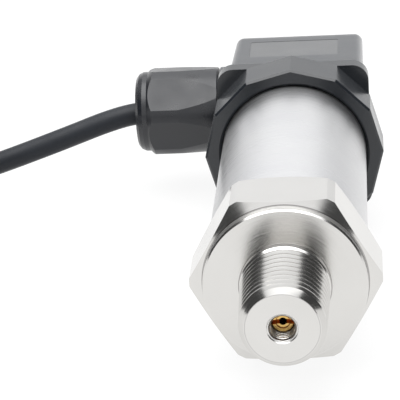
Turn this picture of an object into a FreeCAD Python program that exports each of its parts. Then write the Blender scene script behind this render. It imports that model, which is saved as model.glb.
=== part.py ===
import FreeCAD, Part
import math
import os

# Pressure transmitter: a turned steel pressure port and tube, a moulded black
# connector head with a square angle plug on it, and a cable from the plug's gland.
# Millimetres. The body's axis is Y: the port points towards -Y, +Z is up, and the
# cable leaves towards -X. The origin is on the axis, in the plane of the shoulder
# that seats against the pipework.

V = FreeCAD.Vector

# ---- steel pressure port -------------------------------------------------------
STUB_LENGTH = 15.0
STUB_FACE_R = 5.7
THREAD_TIP_R = 6.65
THREAD_BASE_R = 7.1
THREAD_DEPTH = 0.8
THREAD_LAND = 0.7
LAND_R = 7.15
SHOULDER_R = 12.95
SHOULDER_T = 1.65
HEX_AF = 27.0
HEX_TURNED_R = 15.2
HEX_FACE_BACK_Y = 2.5
HEX_BEVEL_Y = 11.1
HEX_BACK_Y = 12.6
EDGE = 0.25

PORT_MOUTH_R = 2.45
PORT_R = 1.9
PORT_DEPTH = 6.8
CHANNEL_R = 1.0
CELL_SEAT_Y = 5.6
CAVITY_R = 9.6
SPIGOT_R = 11.73
SPIGOT_END_Y = 18.6

SNUBBER_TOP = 2.5
SNUBBER_R = 1.72
SNUBBER_EDGE = 0.15
SNUBBER_RIM_R = 1.05
SNUBBER_RIM_DEPTH = 0.2
SNUBBER_HOLE_R = 0.62
SNUBBER_SLOT_W = 0.75
SNUBBER_SLOT_DEPTH = 0.9

# ---- sensing cell and its parts ------------------------------------------------
CELL_R = 9.2
CELL_T = 5.0
CELL_RECESS_R = 5.6
CELL_RECESS = 0.5
SEAL_MID_R = 7.3
SEAL_CORD_R = 0.8
SEAL_GROOVE = 1.2
CELL_Y = CELL_SEAT_Y + 0.4
RETAINER_T = 3.6
RETAINER_R = 9.55
RETAINER_HOLE_R = 5.8
RETAINER_NOTCH = 2.2

# ---- tube and electronics ------------------------------------------------------
TUBE_R = 12.95
TUBE_INNER_R = 11.75
TUBE_END_Y = 62.5
BOARD_W = 17.0
BOARD_T = 1.6
BOARD_START_Y = 20.8
BOARD_END_Y = 51.5
HOLDER_Y = 18.6
HOLDER_T = 3.4
HOLDER_R = 11.6
LEAD_R = 0.45

# ---- connector head ------------------------------------------------------------
RING_SIDES = 12
RING_CORNER_R = 16.1
RING_FRONT_Y = 56.6
RING_BACK_Y = 64.8
RING_HOLE_R = 13.1
RING_BEVEL = 0.35
MOUTH_BEVEL = 0.5
HEAD_SPIGOT_R = 11.6
HEAD_SPIGOT_Y = 52.8
HEAD_BORE_R = 8.8
HEAD_CHAMBER_R = 9.6
HEAD_SEAL_Y = 57.6
HEAD_GROOVE_R = 10.15
FLANGE_W = 27.6
FLANGE_CORNER_R = 3.0
FLANGE_BACK_Y = 67.8
CARRIER_W = 20.8
CARRIER_FLOOR_Y = 65.8
CARRIER_TOP_Y = 69.8
CARRIER_BOSS_R = 4.2
CARRIER_BOSS_Y = 71.4

BLADE_W = 5.6
BLADE_T = 0.8
BLADE_PITCH_R = 8.0
BLADE_TAIL_Y = 62.9
BLADE_TIP_Y = 80.2
POLES = (0, 90, 180, 270)
INSERT_R = 2.6
INSERT_HOLE_R = 1.5
INSERT_FRONT_Y = 65.8

# ---- angle plug ----------------------------------------------------------------
GASKET_W = 26.0
GASKET_HOLE_W = 21.4
PLUG_FRONT_Y = 69.0
PLUG_BACK_Y = 92.4
PLUG_HALF_H = 13.0
PLUG_BACK_HALF_H = 12.7
PLUG_SHOULDER_Y = 85.2
PLUG_RIGHT_X = 12.8
PLUG_LEFT_X = -11.7
PLUG_LEFT_BACK_X = -11.1
PLUG_EDGE_R = 1.5
CAVITY_RIGHT_X = 10.7
CAVITY_LEFT_X = -9.5
CAVITY_HALF_Z = 11.2
CAVITY_BACK_Y = 86.4
LABEL_W = 16.6
LABEL_L = 9.4
LABEL_Y = 78.9
LABEL_DEPTH = 0.12
LABEL_CORNER_R = 0.6

BLOCK_W = 18.6
BLOCK_H = 21.6
BLOCK_FRONT_Y = 71.8
BLOCK_BACK_Y = 81.5
BLOCK_BORE_R = 4.5
BLOCK_BORE_Y = 74.0
SOCKET_W = 7.4
SOCKET_T = 2.4
SOCKET_FRONT_Y = 72.4
SOCKET_BACK_Y = 81.5
SOCKET_FIT = 0.05
TERMINAL_SCREW_Z = 6.6
TERMINAL_HEAD_R = 2.1
TERMINAL_HEAD_T = 1.5

SCREW_R = 1.45
SCREW_TIP_Y = 66.6
SCREW_HEAD_R = 3.3
SCREW_HEAD_FRONT_Y = 89.2
SCREW_HEAD_BACK_Y = 91.9
SCREW_HOLE_R = 1.9
SCREW_RECESS_R = 3.9
SCREW_RECESS_Y = 88.2
SCREW_SLOT_W = 0.8

# ---- cable gland ---------------------------------------------------------------
GLAND_Y = 82.5
BOSS_R = 8.0
BOSS_END_X = -14.5
BOSS_EDGE = 0.15
NECK_R = 6.25
NECK_END_X = -25.0
NECK_BORE_R = 4.8
NECK_STOP_X = -17.0
THROAT_R = 3.6
NUT_R = 8.55
NUT_RIGHT_R = 7.98
NUT_RIGHT_X = -14.8
NUT_TAPER_X = -22.2
NUT_STEP_X = -27.4
NUT_COLLAR_X = -28.4
NUT_LEFT_X = -30.55
NUT_COLLAR_R = 7.6
NUT_BORE_R = 6.3
NUT_SHOULDER_X = -27.0
NUT_HOLE_R = 2.6
NUT_FLAT = 7.92
NUT_PHASE = 42.0
BUSH_R = 4.7
BUSH_START_X = -17.6
BUSH_END_X = -25.8
WASHER_T = 0.9

# ---- cable ---------------------------------------------------------------------
CABLE_R = 2.1
FLOOR_Z = -RING_CORNER_R
CABLE_FLOOR_Z = FLOOR_Z + CABLE_R
JACKET_END_X = -11.6
COIL_X = -99.2
COIL_Y = 52.9
COIL_MID_R = 25.2
COIL_LAYERS = 2
COIL_TURNS_WIDE = 3
COIL_HALF_W = CABLE_R * COIL_TURNS_WIDE
COIL_OUTER_TURN_R = COIL_MID_R + COIL_HALF_W - CABLE_R
COIL_EDGE = 1.2
TIE_ANGLE = 205.0
TIE_W = 3.2
TIE_T = 0.6
CORE_R = 0.65
CORE_LENGTH = 13.0
FERRULE_R = 0.9
FERRULE_COLLAR = 3.0
FERRULE_PIN_R = 0.5
FERRULE_PIN = 4.5

CABLE_ROUTE = [
    V(-21.5, GLAND_Y, 0.0),
    V(-28.0, GLAND_Y, 0.0),
    V(-34.6, 81.7, -0.65),
    V(-46.0, 79.4, -4.2),
    V(-60.0, 77.6, -8.5),
    V(-75.0, 78.0, -13.1),
    V(-89.0, 81.4, CABLE_FLOOR_Z),
    V(COIL_X, COIL_Y + COIL_OUTER_TURN_R, CABLE_FLOOR_Z),
]
TAIL_ROUTE = [
    V(-98.2, COIL_Y - COIL_OUTER_TURN_R, CABLE_FLOOR_Z + 2 * CABLE_R),
    V(-88.0, 23.6, -12.0),
    V(-78.0, 21.6, CABLE_FLOOR_Z),
    V(-69.5, 16.4, CABLE_FLOOR_Z),
]


# ---- helpers -------------------------------------------------------------------
def turned_y(profile):
    """Solid of revolution about the Y axis from (radius, y) points."""
    wire = Part.makePolygon([V(r, y, 0) for r, y in profile] + [V(*profile[0], 0)])
    return Part.Face(wire).revolve(V(0, 0, 0), V(0, 1, 0), 360)


def turned_x(profile):
    """Solid of revolution about the gland's axis from (radius, x) points."""
    points = [V(x, GLAND_Y + r, 0) for r, x in profile]
    wire = Part.makePolygon(points + points[:1])
    return Part.Face(wire).revolve(V(0, GLAND_Y, 0), V(1, 0, 0), 360)


def seal_ring(mid_radius, cord_radius, y):
    """Ring about the Y axis, its section an octagon as wide as the cord."""
    corner = cord_radius / math.cos(math.pi / 8)
    angles = [math.radians(22.5 + 45.0 * k) for k in range(8)]
    return turned_y([(mid_radius + corner * math.cos(a), y + corner * math.sin(a)) for a in angles])


def rod_y(radius, y_from, y_to, x=0.0, z=0.0):
    return Part.makeCylinder(radius, y_to - y_from, V(x, y_from, z), V(0, 1, 0))


def rod_x(radius, x_from, x_to):
    return Part.makeCylinder(radius, x_to - x_from, V(x_from, GLAND_Y, 0), V(1, 0, 0))


def block(x_from, x_to, y_from, y_to, z_from, z_to):
    corner = V(x_from, y_from, z_from)
    return Part.makeBox(x_to - x_from, y_to - y_from, z_to - z_from, corner)


def square_y(width, y_from, y_to, height=None):
    """Block centred on the Y axis."""
    half_z = (height or width) / 2
    return block(-width / 2, width / 2, y_from, y_to, -half_z, half_z)


def edges_along(shape, direction):
    """Straight edges parallel to a direction."""
    chosen = []
    for edge in shape.Edges:
        if edge.Curve.TypeId == "Part::GeomLine":
            if abs(abs(edge.Curve.Direction.dot(direction)) - 1) < 1e-6:
                chosen.append(edge)
    return chosen


def polygon_y(sides, corner_radius, y_from, y_to, first_angle):
    """Regular prism along Y; the first corner's angle is measured from +Z."""
    corners = []
    for k in range(sides + 1):
        angle = math.radians(first_angle + 360.0 * k / sides)
        corners.append(V(corner_radius * math.sin(angle), y_from, corner_radius * math.cos(angle)))
    return Part.Face(Part.makePolygon(corners)).extrude(V(0, y_to - y_from, 0))


def around_y(shape, angles):
    """Copies of a shape turned about the Y axis."""
    copies = []
    for angle in angles:
        copy = shape.copy()
        copy.rotate(V(0, 0, 0), V(0, 1, 0), angle)
        copies.append(copy)
    return copies


def bent_path(points):
    """Straight runs joined by tangent arcs, each as large as its two runs allow."""
    edges = []
    radii = []
    start = points[0]
    for before, corner, after in zip(points, points[1:], points[2:]):
        back = (before - corner).normalize()
        ahead = (after - corner).normalize()
        half_turn = (math.pi - back.getAngle(ahead)) / 2
        reach = 0.45 * min(before.distanceToPoint(corner), after.distanceToPoint(corner))
        radius = reach / math.tan(half_turn)
        inward = (back + ahead).normalize()
        middle = corner + inward * (radius / math.cos(half_turn) - radius)
        enter = corner + back * reach
        leave = corner + ahead * reach
        edges.append(Part.LineSegment(start, enter).toShape())
        edges.append(Part.Arc(enter, middle, leave).toShape())
        radii.append(radius)
        start = leave
    edges.append(Part.LineSegment(start, points[-1]).toShape())
    return Part.Wire(edges), radii


def tube_along(points, radius):
    path, radii = bent_path(points)
    direction = points[1] - points[0]
    section = Part.Wire(Part.makeCircle(radius, points[0], direction))
    return path.makePipeShell([section], True, False), path.Length, radii


# ---- pressure port -------------------------------------------------------------
def process_connection():
    tip = -STUB_LENGTH
    core_tip = THREAD_TIP_R - THREAD_DEPTH
    core_base = THREAD_BASE_R - THREAD_DEPTH
    turned = turned_y([
        (0, tip),
        (STUB_FACE_R, tip),
        (core_tip, tip + 0.7 * (core_tip - STUB_FACE_R)),
        (core_base, -THREAD_LAND - (LAND_R - core_base)),
        (LAND_R, -THREAD_LAND),
        (LAND_R, 0),
        (SHOULDER_R - EDGE, 0),
        (SHOULDER_R, EDGE),
        (SHOULDER_R, SHOULDER_T),
        (SPIGOT_R, SHOULDER_T),
        (SPIGOT_R, SPIGOT_END_Y - EDGE),
        (SPIGOT_R - EDGE, SPIGOT_END_Y),
        (0, SPIGOT_END_Y),
    ])
    hexagon = polygon_y(6, HEX_AF / 2 / math.cos(math.pi / 6), SHOULDER_T, HEX_BACK_Y, 30)
    blank = turned_y([
        (0, SHOULDER_T),
        (SHOULDER_R, SHOULDER_T),
        (HEX_TURNED_R, HEX_FACE_BACK_Y),
        (HEX_TURNED_R, HEX_BEVEL_Y),
        (TUBE_R, HEX_BACK_Y),
        (0, HEX_BACK_Y),
    ])
    port = turned_y([
        (0, tip),
        (PORT_MOUTH_R, tip),
        (PORT_R, tip + PORT_MOUTH_R - PORT_R),
        (PORT_R, tip + PORT_DEPTH),
        (CHANNEL_R, tip + PORT_DEPTH),
        (CHANNEL_R, CELL_SEAT_Y),
        (CAVITY_R, CELL_SEAT_Y),
        (CAVITY_R, SPIGOT_END_Y),
        (0, SPIGOT_END_Y),
    ])
    groove = rod_y(SEAL_MID_R + SEAL_CORD_R, CELL_Y - SEAL_GROOVE - 0.4, CELL_Y)
    groove = groove.cut(rod_y(SEAL_MID_R - SEAL_CORD_R, 0, CELL_Y))
    return turned.fuse(hexagon.common(blank)).cut(port).cut(groove).removeSplitter()


def snubber_screw():
    front = -STUB_LENGTH + SNUBBER_TOP
    back = -STUB_LENGTH + PORT_DEPTH
    screw = turned_y([
        (SNUBBER_HOLE_R, front + SNUBBER_RIM_DEPTH),
        (SNUBBER_RIM_R, front + SNUBBER_RIM_DEPTH),
        (SNUBBER_RIM_R, front),
        (SNUBBER_R - SNUBBER_EDGE, front),
        (SNUBBER_R, front + SNUBBER_EDGE),
        (SNUBBER_R, back),
        (SNUBBER_HOLE_R, back),
    ])
    slot = block(-SNUBBER_R, SNUBBER_R, front, front + SNUBBER_SLOT_DEPTH,
                 -SNUBBER_SLOT_W / 2, SNUBBER_SLOT_W / 2)
    return screw.cut(slot)


def sensor_seal():
    cord = SEAL_CORD_R - 0.02
    return seal_ring(SEAL_MID_R, cord, CELL_Y - cord)


def sensor_cell():
    back = CELL_Y + CELL_T
    return turned_y([
        (0, CELL_Y + CELL_RECESS),
        (CELL_RECESS_R, CELL_Y + CELL_RECESS),
        (CELL_RECESS_R, CELL_Y),
        (CELL_R, CELL_Y),
        (CELL_R, back - EDGE),
        (CELL_R - EDGE, back),
        (0, back),
    ])


def sensor_retainer():
    front = CELL_Y + CELL_T
    ring = turned_y([
        (RETAINER_HOLE_R, front),
        (RETAINER_R, front),
        (RETAINER_R, front + RETAINER_T),
        (RETAINER_HOLE_R, front + RETAINER_T),
    ])
    notch = block(-RETAINER_R, RETAINER_R, front + RETAINER_T - 1.4, front + RETAINER_T,
                  -RETAINER_NOTCH / 2, RETAINER_NOTCH / 2)
    return ring.cut(notch)


# ---- tube and electronics ------------------------------------------------------
def body_tube():
    return turned_y([
        (TUBE_INNER_R, HEX_BACK_Y),
        (TUBE_R - EDGE, HEX_BACK_Y),
        (TUBE_R, HEX_BACK_Y + EDGE),
        (TUBE_R, TUBE_END_Y - EDGE),
        (TUBE_R - EDGE, TUBE_END_Y),
        (TUBE_INNER_R, TUBE_END_Y),
    ])


def board_holder():
    ring = rod_y(HOLDER_R, HOLDER_Y, HOLDER_Y + HOLDER_T)
    window = rod_y(HOLDER_R - 4.0, HOLDER_Y, HOLDER_Y + HOLDER_T)
    bar = block(-HOLDER_R + 1, HOLDER_R - 1, HOLDER_Y, HOLDER_Y + HOLDER_T, -2.6, 2.6)
    slot = block(-BOARD_W / 2, BOARD_W / 2, BOARD_START_Y, HOLDER_Y + HOLDER_T,
                 -BOARD_T / 2, BOARD_T / 2)
    return ring.cut(window).fuse(bar).cut(slot).removeSplitter()


def circuit_board():
    half_w = BOARD_W / 2
    board = block(-half_w, half_w, BOARD_START_Y, BOARD_END_Y, -BOARD_T / 2, BOARD_T / 2)
    return board.makeFillet(1.0, edges_along(board, V(0, 0, 1)))


def board_parts():
    """Amplifier, converter, two trimmers and two capacitors on the board."""
    top = BOARD_T / 2
    parts = [
        block(-4.0, 1.0, 25.0, 31.2, top, top + 1.4),
        block(-3.4, 2.8, 34.0, 39.0, top, top + 1.6),
        block(3.6, 7.2, 24.6, 29.0, top, top + 3.4),
        block(3.6, 7.2, 30.4, 34.8, top, top + 3.4),
        Part.makeCylinder(2.0, 4.6, V(-5.0, 45.4, top), V(0, 0, 1)),
        Part.makeCylinder(2.0, 4.6, V(1.6, 45.4, top), V(0, 0, 1)),
    ]
    return Part.Compound(parts)


def sensor_ribbon():
    """Flat flexible lead from the back of the cell to the board."""
    start_y = CELL_Y + CELL_T
    holder_end = HOLDER_Y + HOLDER_T
    under_board = -BOARD_T / 2 - 0.25
    run = [(0.3, start_y), (0.3, start_y + 2.6), (-2.9, start_y + 4.6), (-2.9, holder_end + 2.0),
           (under_board, holder_end + 4.5), (under_board, 30.0)]
    low = [V(-2.5, y, z) for z, y in run]
    high = [V(-2.5, y, z + 0.22) for z, y in reversed(run)]
    return Part.Face(Part.makePolygon(low + high + low[:1])).extrude(V(5.0, 0, 0))


def board_leads():
    """Three wires from the board to the blades' tails."""
    leads = []
    reach = BLADE_PITCH_R
    for x, end_x, end_z in ((-6.0, -reach, 0), (6.0, reach, 0), (2.4, 0, -reach)):
        start = V(x, 50.5, -BOARD_T / 2 - LEAD_R)
        knee = V(0.9 * x, 54.2, -2.2)
        rise = V(end_x, 59.0, end_z)
        route = [start, knee, rise, V(end_x, BLADE_TAIL_Y, end_z)]
        leads.append(tube_along(route, LEAD_R)[0])
    return Part.Compound(leads)


# ---- connector head ------------------------------------------------------------
def connector_head():
    ring = polygon_y(RING_SIDES, RING_CORNER_R, RING_FRONT_Y, RING_BACK_Y, 0)
    front_edges = [e for e in ring.Edges if max(v.Y for v in e.Vertexes) < RING_FRONT_Y + 0.01]
    ring = ring.makeChamfer(RING_BEVEL, front_edges)
    flange = square_y(FLANGE_W, RING_BACK_Y, FLANGE_BACK_Y)
    flange = flange.makeFillet(FLANGE_CORNER_R, edges_along(flange, V(0, 1, 0)))
    spigot = rod_y(HEAD_SPIGOT_R, HEAD_SPIGOT_Y, RING_FRONT_Y)
    tube_seat = rod_y(RING_HOLE_R, RING_FRONT_Y, TUBE_END_Y).cut(
        rod_y(HEAD_SPIGOT_R, RING_FRONT_Y, TUBE_END_Y))
    mouth = turned_y([(0, RING_FRONT_Y), (RING_HOLE_R + MOUTH_BEVEL, RING_FRONT_Y),
                      (RING_HOLE_R, RING_FRONT_Y + MOUTH_BEVEL), (0, RING_FRONT_Y + MOUTH_BEVEL)])
    mouth = mouth.cut(rod_y(HEAD_SPIGOT_R, RING_FRONT_Y, RING_BACK_Y))
    bore = turned_y([(0, HEAD_SPIGOT_Y), (HEAD_BORE_R, HEAD_SPIGOT_Y), (HEAD_BORE_R, TUBE_END_Y - 1.0),
                     (HEAD_CHAMBER_R, TUBE_END_Y + 0.8), (HEAD_CHAMBER_R, FLANGE_BACK_Y),
                     (0, FLANGE_BACK_Y)])
    groove = rod_y(HEAD_SPIGOT_R, HEAD_SEAL_Y - 1.0, HEAD_SEAL_Y + 1.0).cut(
        rod_y(HEAD_GROOVE_R, HEAD_SEAL_Y - 1.0, HEAD_SEAL_Y + 1.0))
    carrier_seat = square_y(CARRIER_W, CARRIER_FLOOR_Y, FLANGE_BACK_Y)
    head = ring.fuse([flange, spigot])
    return head.cut([tube_seat, mouth, bore, groove, carrier_seat]).removeSplitter()


def head_seal():
    radius = (HEAD_GROOVE_R + TUBE_INNER_R) / 2
    cord = (TUBE_INNER_R - HEAD_GROOVE_R) / 2 - 0.01
    return seal_ring(radius, cord, HEAD_SEAL_Y)


def blade(y_from, y_to, grow):
    """One flat contact above the axis, its width along X; grow widens it all round."""
    half_w = BLADE_W / 2 + grow
    half_t = BLADE_T / 2 + grow
    return block(-half_w, half_w, y_from, y_to, BLADE_PITCH_R - half_t, BLADE_PITCH_R + half_t)


def contact_carrier():
    plate = square_y(CARRIER_W - 0.1, CARRIER_FLOOR_Y, CARRIER_TOP_Y)
    plate = plate.makeFillet(0.8, edges_along(plate, V(0, 1, 0)))
    boss = rod_y(CARRIER_BOSS_R, CARRIER_TOP_Y, CARRIER_BOSS_Y)
    slots = around_y(blade(CARRIER_FLOOR_Y, CARRIER_TOP_Y, 0.0), POLES)
    pocket = rod_y(INSERT_R, CARRIER_FLOOR_Y, CARRIER_BOSS_Y)
    return plate.fuse(boss).cut(slots + [pocket]).removeSplitter()


def tapered_blade():
    flat = blade(BLADE_TAIL_Y, BLADE_TIP_Y, 0.0)
    tip_edges = [e for e in edges_along(flat, V(1, 0, 0)) if e.CenterOfMass.y > BLADE_TIP_Y - 0.01]
    return flat.makeChamfer(0.25, tip_edges)


def contact_blades():
    return Part.Compound(around_y(tapered_blade(), POLES[1:]))


def earth_blade():
    return tapered_blade()


def insert_nut():
    nut = rod_y(INSERT_R, INSERT_FRONT_Y, CARRIER_BOSS_Y)
    return nut.cut(rod_y(INSERT_HOLE_R, INSERT_FRONT_Y, CARRIER_BOSS_Y))


# ---- angle plug ----------------------------------------------------------------
def plug_gasket():
    gasket = square_y(GASKET_W, FLANGE_BACK_Y, PLUG_FRONT_Y)
    gasket = gasket.makeFillet(2.4, edges_along(gasket, V(0, 1, 0)))
    return gasket.cut(square_y(GASKET_HOLE_W, FLANGE_BACK_Y, PLUG_FRONT_Y))


def plug_outline():
    """Side outline swept along X, met by a plan outline swept along Z."""
    turn = 45.0
    corner_r = PLUG_BACK_Y - PLUG_SHOULDER_Y
    centre = V(0, PLUG_SHOULDER_Y, PLUG_BACK_HALF_H - corner_r)
    middle_y = PLUG_SHOULDER_Y + corner_r * math.sin(math.radians(turn))
    middle_z = centre.z + corner_r * math.cos(math.radians(turn))
    x = -20.0
    corners = [V(x, PLUG_FRONT_Y, -PLUG_HALF_H), V(x, PLUG_FRONT_Y, PLUG_HALF_H),
               V(x, PLUG_SHOULDER_Y, PLUG_BACK_HALF_H), V(x, PLUG_BACK_Y, centre.z),
               V(x, PLUG_BACK_Y, -centre.z), V(x, PLUG_SHOULDER_Y, -PLUG_BACK_HALF_H)]
    upper = Part.Arc(corners[2], V(x, middle_y, middle_z), corners[3])
    lower = Part.Arc(corners[4], V(x, middle_y, -middle_z), corners[5])
    side = Part.Wire([
        Part.LineSegment(corners[0], corners[1]).toShape(),
        Part.LineSegment(corners[1], corners[2]).toShape(),
        upper.toShape(),
        Part.LineSegment(corners[3], corners[4]).toShape(),
        lower.toShape(),
        Part.LineSegment(corners[5], corners[0]).toShape(),
    ])
    swept = Part.Face(side).extrude(V(40.0, 0, 0))
    low = -20.0
    plan = Part.makePolygon([
        V(PLUG_LEFT_X, PLUG_FRONT_Y, low),
        V(PLUG_RIGHT_X, PLUG_FRONT_Y, low),
        V(PLUG_RIGHT_X, PLUG_BACK_Y, low),
        V(PLUG_LEFT_BACK_X, PLUG_BACK_Y, low),
        V(PLUG_LEFT_X, PLUG_FRONT_Y, low),
    ])
    body = swept.common(Part.Face(plan).extrude(V(0, 0, 40.0)))
    sides = [e for e in body.Edges if PLUG_FRONT_Y + 0.01 < e.CenterOfMass.y and abs(
        e.Vertexes[0].X - e.Vertexes[-1].X) < 2.0]
    return body.makeFillet(PLUG_EDGE_R, sides)


def label_recess(side):
    z = side * PLUG_HALF_H
    low, high = sorted((z - side * (LABEL_DEPTH + 0.2), z + side))
    recess = block(-LABEL_W / 2, LABEL_W / 2, LABEL_Y - LABEL_L / 2, LABEL_Y + LABEL_L / 2, low, high)
    return recess.makeFillet(LABEL_CORNER_R, edges_along(recess, V(0, 0, 1)))


def plug_housing():
    boss = turned_x([(0, -8.0), (BOSS_R, -8.0), (BOSS_R, BOSS_END_X + BOSS_EDGE),
                     (BOSS_R - BOSS_EDGE, BOSS_END_X), (0, BOSS_END_X)])
    neck = turned_x([(0, -8.0), (NECK_R, -8.0), (NECK_R, NECK_END_X + 0.5),
                     (NECK_R - 0.5, NECK_END_X), (0, NECK_END_X)])
    cavity = block(CAVITY_LEFT_X, CAVITY_RIGHT_X, PLUG_FRONT_Y, CAVITY_BACK_Y,
                   -CAVITY_HALF_Z, CAVITY_HALF_Z)
    cavity = cavity.makeFillet(2.0, [e for e in edges_along(cavity, V(1, 0, 0)) if e.CenterOfMass.y > 80.0])
    mouth = block(-CAVITY_RIGHT_X, CAVITY_RIGHT_X, PLUG_FRONT_Y, BLOCK_FRONT_Y,
                  -CAVITY_HALF_Z, CAVITY_HALF_Z)
    throat = turned_x([(0, -5.0), (THROAT_R, -5.0), (THROAT_R, NECK_STOP_X + 1.9),
                       (NECK_BORE_R, NECK_STOP_X), (NECK_BORE_R, NECK_END_X), (0, NECK_END_X)])
    screw_hole = rod_y(SCREW_HOLE_R, CAVITY_BACK_Y - 1.0, PLUG_BACK_Y)
    screw_recess = rod_y(SCREW_RECESS_R, SCREW_RECESS_Y, PLUG_BACK_Y)
    shell = plug_outline().fuse([boss, neck])
    return shell.cut([cavity, mouth, throat, screw_hole, screw_recess,
                      label_recess(1), label_recess(-1)]).removeSplitter()


def socket(y_from, y_to, half_w, half_t):
    return block(-half_w, half_w, y_from, y_to, BLADE_PITCH_R - half_t - 0.6, BLADE_PITCH_R + half_t - 0.6)


def terminal_block():
    body = square_y(BLOCK_W, BLOCK_FRONT_Y, BLOCK_BACK_Y, height=BLOCK_H)
    pockets = around_y(socket(SOCKET_FRONT_Y, BLOCK_BACK_Y, SOCKET_W / 2, SOCKET_T / 2), POLES)
    pockets += around_y(blade(BLOCK_FRONT_Y, SOCKET_FRONT_Y, SOCKET_FIT), POLES)
    centre = [rod_y(BLOCK_BORE_R, BLOCK_FRONT_Y, BLOCK_BORE_Y),
              rod_y(SCREW_HOLE_R, BLOCK_BORE_Y, BLOCK_BACK_Y)]
    return body.cut(pockets + centre)


def contact_sockets():
    """Brass clamps: each grips a blade in its slot and a wire under its screw."""
    body = socket(SOCKET_FRONT_Y, SOCKET_BACK_Y, SOCKET_W / 2 - 0.05, SOCKET_T / 2 - 0.05)
    body = body.cut(blade(SOCKET_FRONT_Y, BLADE_TIP_Y + 0.3, SOCKET_FIT))
    return Part.Compound(around_y(body, POLES))


def terminal_screws():
    back = SOCKET_BACK_Y + TERMINAL_HEAD_T
    head = rod_y(TERMINAL_HEAD_R, SOCKET_BACK_Y, back, z=TERMINAL_SCREW_Z)
    slot = block(-TERMINAL_HEAD_R, TERMINAL_HEAD_R, back - 0.7, back,
                 TERMINAL_SCREW_Z - 0.3, TERMINAL_SCREW_Z + 0.3)
    return Part.Compound(around_y(head.cut(slot), POLES))


def fixing_screw():
    back = SCREW_HEAD_BACK_Y
    screw = turned_y([
        (0, SCREW_TIP_Y),
        (SCREW_R - 0.4, SCREW_TIP_Y),
        (SCREW_R, SCREW_TIP_Y + 0.4),
        (SCREW_R, SCREW_HEAD_FRONT_Y),
        (SCREW_HEAD_R, SCREW_HEAD_FRONT_Y),
        (SCREW_HEAD_R, back - 0.6),
        (SCREW_HEAD_R - 0.5, back),
        (0, back),
    ])
    slot = block(-SCREW_HEAD_R, SCREW_HEAD_R, back - 1.2, back, -SCREW_SLOT_W / 2, SCREW_SLOT_W / 2)
    return screw.cut(slot)


def screw_seal():
    ring = rod_y(SCREW_RECESS_R - 0.15, SCREW_RECESS_Y, SCREW_HEAD_FRONT_Y - 0.1)
    return ring.cut(rod_y(SCREW_R + 0.3, SCREW_RECESS_Y, SCREW_HEAD_FRONT_Y))


# ---- cable gland ---------------------------------------------------------------
def gland_bush():
    return turned_x([(CABLE_R + 0.02, BUSH_START_X), (BUSH_R - 1.0, BUSH_START_X),
                     (BUSH_R, BUSH_START_X - 1.2), (BUSH_R, BUSH_END_X), (CABLE_R + 0.02, BUSH_END_X)])


def gland_washer():
    end = BUSH_END_X - WASHER_T
    return turned_x([(CABLE_R + 0.3, BUSH_END_X), (BUSH_R + 0.8, BUSH_END_X), (BUSH_R + 0.8, end),
                     (CABLE_R + 0.3, end)])


def gland_nut():
    """Round nut, tapered towards the plug, with six flats that end in arches on the taper."""
    outer = turned_x([
        (0, NUT_RIGHT_X),
        (NUT_RIGHT_R - 0.2, NUT_RIGHT_X),
        (NUT_RIGHT_R, NUT_RIGHT_X - 0.2),
        (NUT_R, NUT_TAPER_X),
        (NUT_R, NUT_STEP_X),
        (NUT_COLLAR_R, NUT_COLLAR_X),
        (NUT_COLLAR_R, NUT_LEFT_X + 1.3),
        (NUT_COLLAR_R - 0.35, NUT_LEFT_X + 0.5),
        (NUT_COLLAR_R - 1.0, NUT_LEFT_X),
        (0, NUT_LEFT_X),
    ])
    inner = turned_x([
        (0, NUT_RIGHT_X),
        (NUT_BORE_R + 0.4, NUT_RIGHT_X),
        (NUT_BORE_R, NUT_RIGHT_X - 0.4),
        (NUT_BORE_R, NUT_SHOULDER_X),
        (NUT_HOLE_R, NUT_SHOULDER_X),
        (NUT_HOLE_R, NUT_LEFT_X + 0.3),
        (NUT_HOLE_R + 0.3, NUT_LEFT_X),
        (0, NUT_LEFT_X),
    ])
    far = NUT_R + 3.0
    beyond_flat = block(NUT_LEFT_X, NUT_RIGHT_X, GLAND_Y + NUT_FLAT, GLAND_Y + far, -far, far)
    cutters = []
    for k in range(6):
        flat = beyond_flat.copy()
        flat.rotate(V(0, GLAND_Y, 0), V(1, 0, 0), 180.0 - NUT_PHASE + 60.0 * k)
        cutters.append(flat)
    return outer.cut(inner).cut(cutters).removeSplitter()


# ---- cable ---------------------------------------------------------------------
def plug_leads():
    """Three cores from the jacket's end to the clamps."""
    leads = []
    clamp = BLADE_PITCH_R - 0.6
    x = JACKET_END_X
    for side in (1, -1):
        route = [V(x, GLAND_Y, 1.1 * side), V(x + 1.5, GLAND_Y, 1.1 * side),
                 V(x + 4.0, 83.9, 3.4 * side), V(-2.4, 83.8, 7.0 * side)]
        leads.append(tube_along(route, CORE_R)[0])
    near = [V(x, GLAND_Y + 1.2, 0), V(x + 1.2, GLAND_Y + 1.2, 0), V(x + 2.6, 84.1, 0),
            V(x + 4.2, 84.1, 0)]
    leads.append(tube_along(near, CORE_R)[0])
    return Part.Compound(leads)


def cable_jacket_end():
    return rod_x(CABLE_R, CABLE_ROUTE[0].x, JACKET_END_X)


def cable():
    tube, length, radii = tube_along(CABLE_ROUTE, CABLE_R)
    print("cable radii", [round(r, 1) for r in radii], "length", round(length, 1),
          "volume ratio", round(tube.Volume / (math.pi * CABLE_R ** 2 * length), 4))
    return tube.fuse(cable_jacket_end()).removeSplitter()


def cable_tail():
    tube, length, radii = tube_along(TAIL_ROUTE, CABLE_R)
    print("tail radii", [round(r, 1) for r in radii], "length", round(length, 1),
          "volume ratio", round(tube.Volume / (math.pi * CABLE_R ** 2 * length), 4))
    return tube


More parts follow.
